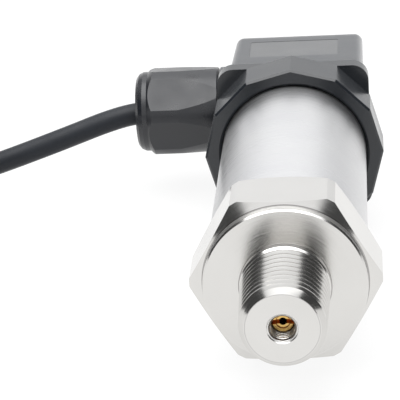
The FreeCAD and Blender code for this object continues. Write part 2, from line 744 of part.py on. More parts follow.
def cable_coil():
    height = 2 * CABLE_R * COIL_LAYERS
    inner = COIL_MID_R - COIL_HALF_W
    outer = COIL_MID_R + COIL_HALF_W
    centre = V(COIL_X, COIL_Y, FLOOR_Z)
    ring = Part.makeCylinder(outer, height, centre).cut(Part.makeCylinder(inner, height, centre))
    rims = [e for e in ring.Edges if e.Curve.TypeId == "Part::GeomCircle" and len(e.Vertexes) == 1]
    return ring.makeChamfer(COIL_EDGE, rims)


def coil_tie():
    """Strap round the coil's bundle of turns."""
    height = 2 * CABLE_R * COIL_LAYERS
    near = COIL_MID_R - COIL_HALF_W
    far = COIL_MID_R + COIL_HALF_W
    band = block(near - TIE_T, far + TIE_T, -TIE_W / 2, TIE_W / 2, FLOOR_Z, FLOOR_Z + height + TIE_T)
    band = band.makeFillet(1.6, edges_along(band, V(0, 1, 0)))
    hole = block(near, far, -TIE_W, TIE_W, FLOOR_Z + TIE_T, FLOOR_Z + height)
    hole = hole.makeFillet(1.2, edges_along(hole, V(0, 1, 0)))
    tie = band.cut(hole)
    tie.rotate(V(0, 0, 0), V(0, 0, 1), TIE_ANGLE)
    tie.translate(V(COIL_X, COIL_Y, 0))
    return tie


def core_routes():
    """Centre lines of the stripped cores that fan out of the cable's free end."""
    end = TAIL_ROUTE[-1]
    along = (TAIL_ROUTE[-1] - TAIL_ROUTE[-2]).normalize()
    side = V(-along.y, along.x, 0).normalize()
    up = along.cross(side)
    routes = []
    for k in (-1, 0, 1):
        start = end + side * (0.95 * k) + up * (-0.5 if k else 0.55)
        fan = (along + side * (0.24 * k) + V(0, 0, -0.03 if k else -0.07)).normalize()
        knee = start + along * 3.0
        routes.append([start, knee, knee + fan * (CORE_LENGTH - 3.0)])
    return routes


def core_ends():
    return Part.Compound([tube_along(route, CORE_R)[0] for route in core_routes()])


def ferrules():
    """Crimped sleeves: a collar over each core and a closed pin ahead of it."""
    caps = []
    for route in core_routes():
        tip = route[-1]
        ahead = (route[-1] - route[-2]).normalize()
        base = tip - ahead * FERRULE_COLLAR
        collar = Part.makeCylinder(FERRULE_R, FERRULE_COLLAR + 0.5, base, ahead)
        collar = collar.cut(Part.makeCylinder(CORE_R, FERRULE_COLLAR, base, ahead))
        pin = Part.makeCylinder(FERRULE_PIN_R, FERRULE_PIN, tip, ahead)
        caps.append(collar.fuse(pin).removeSplitter())
    return Part.Compound(caps)


NODES = [
    process_connection, snubber_screw, sensor_seal, sensor_cell, sensor_retainer, sensor_ribbon,
    body_tube, board_holder, circuit_board, board_parts, board_leads,
    connector_head, head_seal, contact_carrier, contact_blades, earth_blade, insert_nut,
    plug_gasket, plug_housing, terminal_block, contact_sockets, terminal_screws,
    fixing_screw, screw_seal, gland_bush, gland_washer, gland_nut,
    plug_leads, cable, cable_coil, coil_tie, cable_tail, core_ends, ferrules,
]

os.makedirs("parts", exist_ok=True)
for build in NODES:
    solid = build()
    solid.exportStep("parts/" + build.__name__ + ".step")
    print(build.__name__, len(solid.Solids), "solids, valid", solid.isValid(), round(solid.Volume, 1), "mm3")
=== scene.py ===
import bmesh
import bpy
import math
from mathutils import Matrix, Quaternion, Vector


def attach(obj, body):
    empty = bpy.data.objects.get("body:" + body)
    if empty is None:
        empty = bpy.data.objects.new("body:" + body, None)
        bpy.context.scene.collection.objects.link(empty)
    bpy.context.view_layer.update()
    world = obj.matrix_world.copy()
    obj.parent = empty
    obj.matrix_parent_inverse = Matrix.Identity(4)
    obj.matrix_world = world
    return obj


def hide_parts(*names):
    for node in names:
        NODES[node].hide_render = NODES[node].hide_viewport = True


# Pressure transmitter, dressed on its solids. Metres. The body's axis is Y, the port
# points towards -Y, +Z is up and the cable leaves towards -X.

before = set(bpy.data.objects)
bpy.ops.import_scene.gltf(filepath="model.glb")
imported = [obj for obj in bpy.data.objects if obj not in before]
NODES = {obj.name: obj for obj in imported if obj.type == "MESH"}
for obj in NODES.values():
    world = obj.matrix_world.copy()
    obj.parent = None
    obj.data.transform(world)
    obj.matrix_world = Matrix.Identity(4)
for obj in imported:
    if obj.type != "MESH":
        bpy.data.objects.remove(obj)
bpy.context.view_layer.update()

MM = 0.001

# ---- camera and room -----------------------------------------------------------
CAMERA_AT = Vector((0.01496, -0.29678, 0.13695))
CAMERA_AIM = Vector((-0.01788, 0.06, -0.00960))
CAMERA_ROLL = math.radians(-3.9)
CAMERA_LENS = 189.1
OVERHEAD_AT = (-0.14, -0.05, 0.85)
OVERHEAD_AIM = (-0.14, -0.05, 0.0)
OVERHEAD_SIZE = (1.06, 0.85)
OVERHEAD_RADIANCE = 2.6

FLOOR_Z = -16.1 * MM
FLOOR_R = 4.0
FLOOR_GLOW = 0.88
ROOM_COLOUR = (0.985, 0.99, 1.0, 1.0)
CEILING_LOW = 1.1
CEILING_HIGH = 1.8
CEILING_RISE = (0.60, 0.72)
CEILING_LEFT = (0.40, 0.83)
CEILING_RIGHT = (0.30, 0.87)
CEILING_EDGE = 0.04
WALLS_DARK = 0.06
WALLS_BEHIND = 0.95
WALLS_TURN = (0.55, 0.85)
OPENING_ALONG = (-0.6, -0.2)
OPENING_UP = (0.06, 0.13)

# ---- port's turned faces, its bore and the snubber -----------------------------
MOUTH_R = 2.45 * MM
BORE_RING_PITCH = 0.55 * MM
BORE_RING_DEPTH = 0.11 * MM
BORE_ROUGHER = 0.13
SHOULDER_R = 12.95 * MM
SHOULDER_EDGE = 0.25 * MM
RIM_ROUGHER = 0.26
# The rim's colour is painted shade: a darker grey laid on the shoulder's edge band.
RIM_PAINTED_SHADE = (0.46, 0.455, 0.445)
HEXAGON_SMOOTHER = -0.07
# Thin dark rings at the port's edges and steps are painted shadow: radius, half width and shade.
SHADOW_LINE_COLOUR = (0.36, 0.35, 0.34)
PORT_SHADOW_LINES = (
    (13.07 * MM, 0.09 * MM, SHADOW_LINE_COLOUR),
    (7.26 * MM, 0.08 * MM, SHADOW_LINE_COLOUR),
    (5.66 * MM, 0.06 * MM, (0.52, 0.51, 0.50)),
)
SNUBBER_FACE_Y = -12.5 * MM
# A thin dark ring of painted shadow at the snubber's step.
SNUBBER_SHADOW_R = 1.09 * MM
SNUBBER_SHADOW_HALF = 0.07 * MM

# ---- thread on the stub --------------------------------------------------------
THREAD_PITCH = 1.411 * MM
THREAD_START_Y = -14.89 * MM
THREAD_END_Y = -1.0 * MM
THREAD_START_ANGLE = math.radians(-100.0)
THREAD_DEPTH = 0.8 * MM
THREAD_FADE_IN = 0.15
THREAD_FADE_OUT = 0.45
THREAD_STEPS_PER_TURN = 96
THREAD_CREST_HALF = 0.14 * MM
THREAD_FOOT_GAP = 0.05 * MM
ROOT_TIP_R = 5.85 * MM
ROOT_BASE_R = 6.3 * MM
ROOT_TIP_Y = -14.895 * MM
ROOT_BASE_Y = -1.55 * MM
CHAMFER_R = 5.71 * MM
CHAMFER_SLOPE = 1.43
TIP_Y = -15.0 * MM

# ---- plug's label fields -------------------------------------------------------
LABEL_Y = 78.9 * MM
LABEL_HALF_W = 8.3 * MM
LABEL_HALF_L = 4.7 * MM
LABEL_FROM_Z = 12.5 * MM
LABEL_COLOUR = (0.085, 0.087, 0.090)

# ---- cable ---------------------------------------------------------------------
CABLE_R = 2.1 * MM
COIL_AT = Vector((-99.2, 52.9, 0.0)) * MM
COIL_RADII = (29.4 * MM, 25.2 * MM, 21.0 * MM)
COIL_POINTS = 16
LOW_LAYER = -14.0 * MM
TOP_LAYER = -9.8 * MM
CABLE_ROUTE = [
    (-21.5, 82.5, 0.0),
    (-28.0, 82.5, 0.0),
    (-34.6, 81.7, -0.65),
    (-46.0, 79.4, -4.2),
    (-60.0, 77.6, -8.5),
    (-75.0, 78.0, -13.1),
    (-89.0, 81.4, -14.0),
]
TAIL_ROUTE = [
    (-88.0, 23.6, -12.0),
    (-78.0, 21.6, -14.0),
    (-69.5, 16.4, -14.0),
]
TAIL_END = Vector(TAIL_ROUTE[-1]) * MM
TAIL_HEADING = (Vector(TAIL_ROUTE[-1]) - Vector(TAIL_ROUTE[-2])).normalized()

# ---- cable's bare end and its strap --------------------------------------------
CORE_R = 0.65 * MM
CORE_LENGTH = 13.0 * MM
CORE_RUN_IN = 2.2 * MM
CORE_BEND = 1.6 * MM
SEATED = 0.1 * MM
# Each core's place in the jacket's end, in millimetres sideways and up, and how far it
# leans sideways and up for each step along.
CORE_LAY = {
    "brown": ((-0.95, -0.5), (-0.24, -0.03)),
    "green_yellow": ((0.0, 0.55), (0.0, -0.07)),
    "blue": ((0.95, -0.5), (0.24, -0.03)),
}
SLEEVE_LENGTH = 3.2 * MM
SLEEVE_R = 1.0 * MM
# The sleeve's lip, barrel, step, pin and the pin's edge: distance further, and radius.
SLEEVE_PROFILE = (
    (0.35 * MM, 0.88 * MM),
    (SLEEVE_LENGTH - 0.6 * MM, 0.86 * MM),
    (0.35 * MM, 0.52 * MM),
    (4.2 * MM, 0.50 * MM),
    (0.2 * MM, 0.36 * MM),
)
TIE_ANGLE = 205.0
STRAP_TOP = -7.1 * MM
LOCK_SIZE = Vector((5.2, 4.8, 2.6)) * MM
LOCK_EDGE = 0.6 * MM
LOCK_LIFT = 1.1 * MM
STRAP_END_SIZE = Vector((4.0, 3.0, 1.1)) * MM
STRAP_END_AT = Vector((4.0, 0.0, 0.4)) * MM

# ---- grain of the materials ----------------------------------------------------
NOISE_RANGE = (0.3, 0.7)
CLOUD_RANGE = (0.35, 0.7)
METAL_CLOUD = 90.0
GROOVE_DEPTH = 0.0006 * MM
TURNING_PULL = 0.3
SMEAR = 140.0
SHEEN_ROUGHNESS = 0.45
STOCK_PATCH = 400.0
FINE_GRAIN = 6000.0
FINE_GRAIN_DEPTH = 0.006 * MM


# ---- making pieces -------------------------------------------------------------
def eased(value, start, end):
    """A smooth rise from nothing at start to one at end."""
    share = min(max((value - start) / (end - start), 0.0), 1.0)
    return share * share * (3.0 - 2.0 * share)


def piece(name, bm, material, smooth_angle):
    """A finished mesh as a piece that rides on the transmitter's body."""
    mesh = bpy.data.meshes.new(name)
    bm.to_mesh(mesh)
    bm.free()
    obj = bpy.data.objects.new(name, mesh)
    bpy.context.scene.collection.objects.link(obj)
    mesh.materials.append(material)
    mesh.shade_smooth()
    mesh.set_sharp_from_angle(angle=math.radians(smooth_angle))
    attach(obj, "transmitter")
    return obj


def cord_curve(name, points, radius, material):
    """A round cord on a smooth line."""
    data = bpy.data.curves.new(name, "CURVE")
    data.dimensions = "3D"
    data.resolution_u = 10
    data.bevel_depth = radius
    data.bevel_resolution = 6
    data.use_fill_caps = True
    line = data.splines.new("NURBS")
    line.points.add(len(points) - 1)
    for control, point in zip(line.points, points):
        control.co = (*point, 1.0)
    line.order_u = 3
    line.use_endpoint_u = True
    obj = bpy.data.objects.new(name, data)
    bpy.context.scene.collection.objects.link(obj)
    data.materials.append(material)
    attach(obj, "transmitter")
    return obj


# ---- materials -----------------------------------------------------------------
class Finish:
    """A Principled material and the few nodes that vary it over the surface."""

    def __init__(self, name, colour, roughness, metallic=0.0):
        self.material = bpy.data.materials.new(name)
        self.material.use_nodes = True
        self.tree = self.material.node_tree
        self.shader = self.tree.nodes["Principled BSDF"]
        self.shader.inputs["Base Color"].default_value = (*colour, 1.0)
        self.shader.inputs["Roughness"].default_value = roughness
        self.shader.inputs["Metallic"].default_value = metallic
        self.place = self.tree.nodes.new("ShaderNodeTexCoord").outputs["Object"]

    def link(self, source, target):
        self.tree.links.new(source, target)

    def maths(self, operation, first, second=None):
        node = self.tree.nodes.new("ShaderNodeMath")
        node.operation = operation
        for socket, value in zip(node.inputs, (first, second)):
            if isinstance(value, (int, float)):
                socket.default_value = value
            elif value is not None:
                self.link(value, socket)
        return node.outputs[0]

    def noise(self, scale, detail):
        node = self.tree.nodes.new("ShaderNodeTexNoise")
        node.inputs["Scale"].default_value = scale
        node.inputs["Detail"].default_value = detail
        self.link(self.place, node.inputs["Vector"])
        return node.outputs["Fac"]

    def line_noise(self, along, scale, detail=2.0):
        """Noise that varies along one measure only."""
        node = self.tree.nodes.new("ShaderNodeTexNoise")
        node.noise_dimensions = "1D"
        node.inputs["Scale"].default_value = scale
        node.inputs["Detail"].default_value = detail
        self.link(along, node.inputs["W"])
        return node.outputs["Fac"]

    def spread(self, source, low, high, new_low, new_high):
        """A measure's range from low to high, stretched on to a new range."""
        node = self.tree.nodes.new("ShaderNodeMapRange")
        node.inputs["From Min"].default_value = low
        node.inputs["From Max"].default_value = high
        node.inputs["To Min"].default_value = new_low
        node.inputs["To Max"].default_value = new_high
        self.link(source, node.inputs["Value"])
        return node.outputs["Result"]

    def field(self, measure, middle, half):
        """One inside a band about a middle, fading to nothing over its soft edge."""
        off = self.maths("ABSOLUTE", self.maths("SUBTRACT", measure, middle))
        return self.spread(off, half - 0.25 * MM, half + 0.1 * MM, 1.0, 0.0)

    def line_round(self, radius, at, half):
        """One on a thin ring at a distance from the axis."""
        off = self.maths("ABSOLUTE", self.maths("SUBTRACT", radius, at))
        return self.spread(off, half * 0.6, half * 1.3, 1.0, 0.0)

    def split(self, vector):
        """The three measures of a place."""
        node = self.tree.nodes.new("ShaderNodeSeparateXYZ")
        self.link(vector, node.inputs[0])
        return node.outputs

    def blend(self, factor, first, second):
        node = self.tree.nodes.new("ShaderNodeMix")
        node.data_type = "RGBA"
        self.link(factor, node.inputs["Factor"])
        colours = [s for s in node.inputs if s.type == "RGBA"]
        for socket, colour in zip(colours, (first, second)):
            if isinstance(colour, tuple):
                socket.default_value = (*colour, 1.0)
            else:
                self.link(colour, socket)
        return [s for s in node.outputs if s.type == "RGBA"][0]

    def colour(self, source):
        self.link(source, self.shader.inputs["Base Color"])

    def clouded(self, source, first, second):
        """Soft patches of two shades."""
        self.colour(self.blend(self.spread(source, *CLOUD_RANGE, 0.0, 1.0), first, second))

    def recolour(self, factor, colour):
        """Lays one more colour over the colours so far."""
        so_far = self.shader.inputs["Base Color"].links[0].from_socket
        self.colour(self.blend(factor, so_far, colour))

    def rough(self, source, low, high):
        self.link(self.spread(source, *NOISE_RANGE, low, high), self.shader.inputs["Roughness"])

    def rougher(self, change):
        """Adds to the roughness so far."""
        so_far = self.shader.inputs["Roughness"].links[0].from_socket
        self.link(self.maths("ADD", so_far, change), self.shader.inputs["Roughness"])

    def relief(self, source, depth):
        """Bump of a real depth, on top of the bump so far."""
        node = self.tree.nodes.new("ShaderNodeBump")
        node.inputs["Strength"].default_value = 1.0
        node.inputs["Distance"].default_value = depth
        previous = self.shader.inputs["Normal"]
        if previous.is_linked:
            self.link(previous.links[0].from_socket, node.inputs["Normal"])
        self.link(source, node.inputs["Height"])
        self.link(node.outputs["Normal"], self.shader.inputs["Normal"])

    def from_axis(self):
        """Distance from the body's axis, and the place along it."""
        x, y, z = self.split(self.place)
        squares = self.maths("ADD", self.maths("MULTIPLY", x, x), self.maths("MULTIPLY", z, z))
        return self.maths("SQRT", squares), y

    def turning_marks(self):
        """Highlights drawn out by marks that run round the body's axis."""
        node = self.tree.nodes.new("ShaderNodeTangent")
        node.direction_type = "RADIAL"
        node.axis = "Y"
        self.link(node.outputs[0], self.shader.inputs["Tangent"])
        self.shader.inputs["Anisotropic"].default_value = TURNING_PULL
        self.shader.inputs["Anisotropic Rotation"].default_value = 0.25


def turned_metal(name, light, dark, roughness, groove):
    """Metal off the lathe: fine grooves round the axis on faces and barrels alike."""
    finish = Finish(name, light, roughness, metallic=1.0)
    radius, along = finish.from_axis()
    travel = finish.maths("ADD", radius, along)
    grooves = finish.line_noise(travel, groove, detail=3.0)
    finish.clouded(finish.noise(METAL_CLOUD, detail=4.0), light, dark)
    finish.rough(finish.line_noise(travel, groove * 0.4), roughness * 0.85, roughness * 1.2)
    finish.relief(grooves, GROOVE_DEPTH)
    finish.turning_marks()
    return finish


def port_steel():
    """The port's steel: a duller bore with tool rings, a rougher rim darkened with painted shade,
    and thin dark lines of painted shadow.
    """
    finish = turned_metal(
        "turned_steel", (0.70, 0.69, 0.67), (0.67, 0.66, 0.64), 0.19, 9000.0)
    radius, along = finish.from_axis()
    bore = finish.spread(radius, MOUTH_R - 0.25 * MM, MOUTH_R - 0.1 * MM, 1.0, 0.0)
    rings = finish.maths("SINE", finish.maths("MULTIPLY", along, 2 * math.pi / BORE_RING_PITCH))
    finish.relief(finish.maths("MULTIPLY", rings, bore), BORE_RING_DEPTH)
    rim = finish.maths(
        "MULTIPLY", finish.line_round(radius, SHOULDER_R, 0.04 * MM),
        finish.spread(along, SHOULDER_EDGE, SHOULDER_EDGE + 0.2 * MM, 0.0, 1.0))
    in_bore = finish.spread(radius, MOUTH_R - 0.05 * MM, MOUTH_R, BORE_ROUGHER, 0.0)
    on_hexagon = finish.spread(
        radius, SHOULDER_R + 0.02 * MM, SHOULDER_R + 0.06 * MM, 0.0, HEXAGON_SMOOTHER)
    on_rim = finish.maths("MULTIPLY", rim, RIM_ROUGHER)
    finish.rougher(finish.maths("ADD", in_bore, finish.maths("ADD", on_hexagon, on_rim)))
    # Painted shade darkens the rim band.
    finish.recolour(rim, RIM_PAINTED_SHADE)
    # Thin rings of painted shadow at the port's edges and steps.
    for line_r, half, colour in PORT_SHADOW_LINES:
        finish.recolour(finish.line_round(radius, line_r, half), colour)
    return finish.material


def slotted_brass():
    """The snubber's brass, with painted shade making it darker and redder down in its slot, and a
    painted shadow line at its step.
    """
    finish = turned_metal(
        "slotted_brass", (0.74, 0.50, 0.18), (0.60, 0.37, 0.12), 0.22, 12000.0)
    radius, along = finish.from_axis()
    # Painted shade: the brass darkens and reddens towards the bottom of its slot.
    depth = finish.spread(
        along, SNUBBER_FACE_Y + 0.25 * MM, SNUBBER_FACE_Y + 0.8 * MM, 0.0, 1.0)
    finish.recolour(depth, (0.30, 0.085, 0.02))
    # Painted shadow line at the snubber's step.
    finish.recolour(finish.line_round(radius, SNUBBER_SHADOW_R, SNUBBER_SHADOW_HALF),
                    (0.22, 0.10, 0.03))
    return finish.material


def moulded(name, colour, roughness, grain_size, grain_depth, uneven=0.06, gloss=0.5, sheen=0.0):
    """Black moulding: spark-eroded grain, and more or less uneven gloss."""
    finish = Finish(name, colour, roughness)
    grain = finish.noise(1.0 / grain_size, detail=2.0)
    smear = finish.noise(SMEAR, detail=4.0)
    lighter = tuple(c * 1.35 for c in colour)
    finish.clouded(smear, colour, lighter)
    finish.rough(smear, roughness - uneven, roughness + uneven)
    finish.relief(grain, grain_depth)
    finish.shader.inputs["Specular IOR Level"].default_value = gloss
    finish.shader.inputs["Sheen Weight"].default_value = sheen
    finish.shader.inputs["Sheen Roughness"].default_value = SHEEN_ROUGHNESS
    return finish


def plug_moulding():
    """The plug's black: as the other mouldings, with paler fields for its labels."""
    finish = moulded("plug_plastic", (0.027, 0.030, 0.035), 0.44, 0.30 * MM, 0.012 * MM,
                     gloss=0.6, sheen=0.52)
    x, y, z = finish.split(finish.place)
    inside = finish.field(x, 0.0, LABEL_HALF_W)
    inside = finish.maths("MULTIPLY", inside, finish.field(y, LABEL_Y, LABEL_HALF_L))
    inside = finish.maths("MULTIPLY", inside, finish.spread(
        finish.maths("ABSOLUTE", z), LABEL_FROM_Z, LABEL_FROM_Z + 0.1 * MM, 0.0, 1.0))
    finish.recolour(inside, LABEL_COLOUR)
    return finish.material


def plain_stock(name, colour, roughness, metallic=0.0, mottle=0.15):
    """Small inner parts: one colour, lightly mottled, with a fine grain."""
    finish = Finish(name, colour, roughness, metallic)
    patch = finish.noise(STOCK_PATCH, detail=3.0)
    darker = tuple(c * (1.0 - mottle) for c in colour)
    finish.colour(finish.blend(patch, colour, darker))
    finish.rough(patch, roughness * 0.9, roughness * 1.1)
    finish.relief(finish.noise(FINE_GRAIN, detail=1.0), FINE_GRAIN_DEPTH)
    return finish.material


def two_colour_stock(name, first, second, roughness):
    """Insulation with one colour along each side of the core."""
    heading = math.atan2(TAIL_HEADING.y, TAIL_HEADING.x)
    finish = Finish(name, first, roughness)
    node = finish.tree.nodes.new("ShaderNodeMapping")
    node.vector_type = "TEXTURE"
    node.inputs["Location"].default_value = (TAIL_END.x, TAIL_END.y, 0.0)
    node.inputs["Rotation"].default_value = (0.0, 0.0, heading)
    finish.link(finish.place, node.inputs["Vector"])
    across = finish.split(node.outputs[0])["Y"]
    edge = finish.spread(across, -0.05 * MM, 0.05 * MM, 0.0, 1.0)
    finish.colour(finish.blend(edge, first, second))
    finish.relief(finish.noise(FINE_GRAIN, detail=1.0), FINE_GRAIN_DEPTH)
    return finish.material


TURNED_STEEL = port_steel()
THREAD_STEEL = turned_metal(
    "thread_steel", (0.65, 0.64, 0.62), (0.60, 0.59, 0.57), 0.17, 9000.0).material
TUBE_STEEL = turned_metal(
    "tube_steel", (0.70, 0.70, 0.70), (0.66, 0.66, 0.67), 0.32, 14000.0).material
BRASS = turned_metal("brass", (0.72, 0.46, 0.16), (0.56, 0.33, 0.10), 0.22, 12000.0).material
SNUBBER_BRASS = slotted_brass()
HEAD_PLASTIC = moulded(
    "head_plastic", (0.009, 0.011, 0.014), 0.21, 0.25 * MM, 0.0015 * MM,
    gloss=0.62, sheen=0.04).material
PLUG_PLASTIC = plug_moulding()
NUT_PLASTIC = moulded(
    "nut_plastic", (0.010, 0.011, 0.014), 0.32, 0.28 * MM, 0.006 * MM,
    uneven=0.14, gloss=0.6, sheen=0.05).material
CABLE_JACKET = moulded(
    "cable_jacket", (0.011, 0.013, 0.017), 0.42, 0.45 * MM, 0.008 * MM,
    uneven=0.13, gloss=0.27, sheen=0.03).material
CARRIER_PLASTIC = moulded(
    "carrier_plastic", (0.05, 0.05, 0.055), 0.5, 0.3 * MM, 0.01 * MM).material
HOLDER_PLASTIC = plain_stock("holder_plastic", (0.60, 0.58, 0.52), 0.5)
GASKET_RUBBER = plain_stock("gasket_rubber", (0.035, 0.035, 0.037), 0.65)
SEAL_RUBBER = plain_stock("seal_rubber", (0.02, 0.02, 0.021), 0.45)
CERAMIC = plain_stock("cell_ceramic", (0.82, 0.80, 0.74), 0.4)
RIBBON = plain_stock("ribbon_film", (0.52, 0.26, 0.06), 0.35)
LAMINATE = plain_stock("board_laminate", (0.03, 0.16, 0.07), 0.38)
CHIP = plain_stock("chip_plastic", (0.03, 0.03, 0.035), 0.5)
LEADS = plain_stock("lead_insulation", (0.45, 0.05, 0.04), 0.42)
TINNED = plain_stock("tinned_metal", (0.74, 0.74, 0.72), 0.3, metallic=1.0, mottle=0.1)
PLATED = plain_stock("plated_steel", (0.62, 0.63, 0.65), 0.28, metallic=1.0, mottle=0.08)
TIE = plain_stock("tie_plastic", (0.03, 0.03, 0.032), 0.4)
CORE_FINISH = {
    "brown": plain_stock("brown_insulation", (0.13, 0.045, 0.018), 0.42),
    "green_yellow": two_colour_stock(
        "green_yellow_insulation", (0.62, 0.46, 0.03), (0.03, 0.22, 0.05), 0.42),
    "blue": plain_stock("blue_insulation", (0.02, 0.08, 0.36), 0.42),
}

NODE_FINISH = {
    "process_connection": TURNED_STEEL,
    "snubber_screw": SNUBBER_BRASS,
    "sensor_seal": SEAL_RUBBER,
    "sensor_cell": CERAMIC,
    "sensor_retainer": THREAD_STEEL,
    "sensor_ribbon": RIBBON,
    "body_tube": TUBE_STEEL,
    "board_holder": HOLDER_PLASTIC,
    "circuit_board": LAMINATE,
    "board_parts": CHIP,
    "board_leads": LEADS,
    "connector_head": HEAD_PLASTIC,
    "head_seal": SEAL_RUBBER,
    "contact_carrier": CARRIER_PLASTIC,
    "contact_blades": TINNED,
    "earth_blade": TINNED,
    "insert_nut": BRASS,
    "plug_gasket": GASKET_RUBBER,
    "plug_housing": PLUG_PLASTIC,
    "terminal_block": CARRIER_PLASTIC,
    "contact_sockets": BRASS,
    "terminal_screws": PLATED,
    "fixing_screw": PLATED,
    "screw_seal": SEAL_RUBBER,
    "gland_bush": GASKET_RUBBER,
    "gland_washer": CARRIER_PLASTIC,
    "gland_nut": NUT_PLASTIC,
    "plug_leads": LEADS,
    "cable": CABLE_JACKET,
    "cable_coil": CABLE_JACKET,
    "coil_tie": TIE,
    "cable_tail": CABLE_JACKET,
    "core_ends": LEADS,
    "ferrules": TINNED,
}
for node_name, material in NODE_FINISH.items():
    mesh = NODES[node_name].data
    mesh.materials.clear()
    mesh.materials.append(material)


# ---- threaded stub -------------------------------------------------------------
def wound_turns(place):
    """How many turns of the helix lie between its start and a point of the ridge."""
    angle = math.atan2(place.x, place.z) - THREAD_START_ANGLE
    part_turn = (angle / (2 * math.pi)) % 1.0
    along = (place.y - THREAD_START_Y) / THREAD_PITCH
    return max(part_turn + round(along - part_turn), 0.0)


def process_thread():
    """The stub's taper thread: one right-handed ridge that rises and dies away on the core."""
    turns = (THREAD_END_Y - THREAD_START_Y) / THREAD_PITCH
    steps = round(turns * THREAD_STEPS_PER_TURN)
    half = THREAD_PITCH / 2
    sunk = -0.15 * MM
    buried = 0.1 * MM
    inset = 0.02 * MM
    foot = half - THREAD_FOOT_GAP
    ridge = [(sunk, -half), (0.0, -foot), (THREAD_DEPTH, -THREAD_CREST_HALF),
             (THREAD_DEPTH, THREAD_CREST_HALF), (0.0, foot), (sunk, half)]
    bm = bmesh.new()
    corners = [bm.verts.new((ROOT_TIP_R + height, THREAD_START_Y + along, 0.0))
               for height, along in ridge]
    section = bm.faces.new(corners)
    start_turn = Matrix.Rotation(THREAD_START_ANGLE - math.pi / 2, 3, "Y")
    bmesh.ops.rotate(bm, verts=bm.verts, matrix=start_turn)
    bmesh.ops.spin(
        bm,
        geom=[section, *section.edges, *section.verts],
        cent=(0, 0, 0),
        axis=(0, 1, 0),
        dvec=(0, THREAD_PITCH / THREAD_STEPS_PER_TURN, 0),
        angle=math.radians(360.0) * steps / THREAD_STEPS_PER_TURN,
        steps=steps,
    )
    slope = (ROOT_BASE_R - ROOT_TIP_R) / (ROOT_BASE_Y - ROOT_TIP_Y)
    for vert in bm.verts:
        radius = math.hypot(vert.co.x, vert.co.z)
        wound = wound_turns(vert.co)
        fade = eased(wound, 0.0, THREAD_FADE_IN) * eased(turns - wound, 0.0, THREAD_FADE_OUT)
        height = (radius - ROOT_TIP_R + buried) * fade - buried
        vert.co.y = max(vert.co.y, TIP_Y + inset)
        new_radius = ROOT_TIP_R + slope * (vert.co.y - ROOT_TIP_Y) + height
        new_radius = min(new_radius, CHAMFER_R + CHAMFER_SLOPE * (vert.co.y - TIP_Y))
        vert.co.x *= new_radius / radius
        vert.co.z *= new_radius / radius
    bmesh.ops.recalc_face_normals(bm, faces=bm.faces)
    return piece("process_thread", bm, THREAD_STEEL, smooth_angle=20)


process_thread()


# ---- cable ---------------------------------------------------------------------
def coil_points():
    """The put-away length: three turns in, up to the second layer, and three turns out."""
    outer, middle, inner = COIL_RADII
    shift_start, shift_end = 0.8, 1.0
    back_start, back_end = 0.4, 0.6
    rise_start, rise_end = 2.6, 2.8
    turns = 5.5
    reach = 1.0 / math.cos(math.pi / COIL_POINTS)

    points = []
    for k in range(round(turns * COIL_POINTS) + 1):
        turn = k / COIL_POINTS
        radius = outer
        radius += (middle - outer) * eased(turn, shift_start, shift_end)
        radius += (inner - middle) * eased(turn, 1 + shift_start, 1 + shift_end)
        radius += (middle - inner) * eased(turn, 3 + back_start, 3 + back_end)
        radius += (outer - middle) * eased(turn, 4 + back_start, 4 + back_end)
        height = LOW_LAYER + (TOP_LAYER - LOW_LAYER) * eased(turn, rise_start, rise_end)
        angle = math.radians(90.0 + 360.0 * turn)
        points.append(COIL_AT + Vector((
            radius * reach * math.cos(angle), radius * reach * math.sin(angle), height)))
    return points


def in_metres(route):
    return [Vector(point) * MM for point in route]


cable_line = in_metres(CABLE_ROUTE) + coil_points() + in_metres(TAIL_ROUTE)
cable_cord = cord_curve("cable_cord", cable_line, CABLE_R, CABLE_JACKET)
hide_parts("cable", "cable_coil", "cable_tail")


# ---- cable's bare end and its strap --------------------------------------------
def run_of_tube(bm, start, direction, radius, stations):
    """A round tube from start, its faces outwards, and where it ends.

    Each station is (distance further, radius, new direction).
    """
    turn = Vector((0, 0, 1)).rotation_difference(direction).to_matrix().to_4x4()
    ring = bmesh.ops.create_circle(bm, cap_ends=True, segments=20, radius=radius,
                                   matrix=Matrix.Translation(start) @ turn)["verts"]
    face = [f for f in bm.faces if all(v in ring for v in f.verts)]
    centre = start.copy()
    for distance, new_radius, new_direction in stations:
        extruded = bmesh.ops.extrude_face_region(bm, geom=face)
        bmesh.ops.delete(bm, geom=face, context="FACES_ONLY")
        face = [g for g in extruded["geom"] if isinstance(g, bmesh.types.BMFace)]
        ring = face[0].verts[:]
        bmesh.ops.translate(bm, verts=ring, vec=direction * distance)
        centre = centre + direction * distance
        bend = direction.rotation_difference(new_direction).to_matrix()
        bmesh.ops.rotate(bm, verts=ring, cent=centre, matrix=bend)
        bmesh.ops.scale(bm, verts=ring, vec=(new_radius / radius,) * 3,
                        space=Matrix.Translation(-centre))
        direction = new_direction
        radius = new_radius
    bmesh.ops.recalc_face_normals(bm, faces=bm.faces)
    face[0].normal_update()
    if face[0].normal.dot(direction) < 0.0:
        bmesh.ops.reverse_faces(bm, faces=bm.faces[:])
    return centre


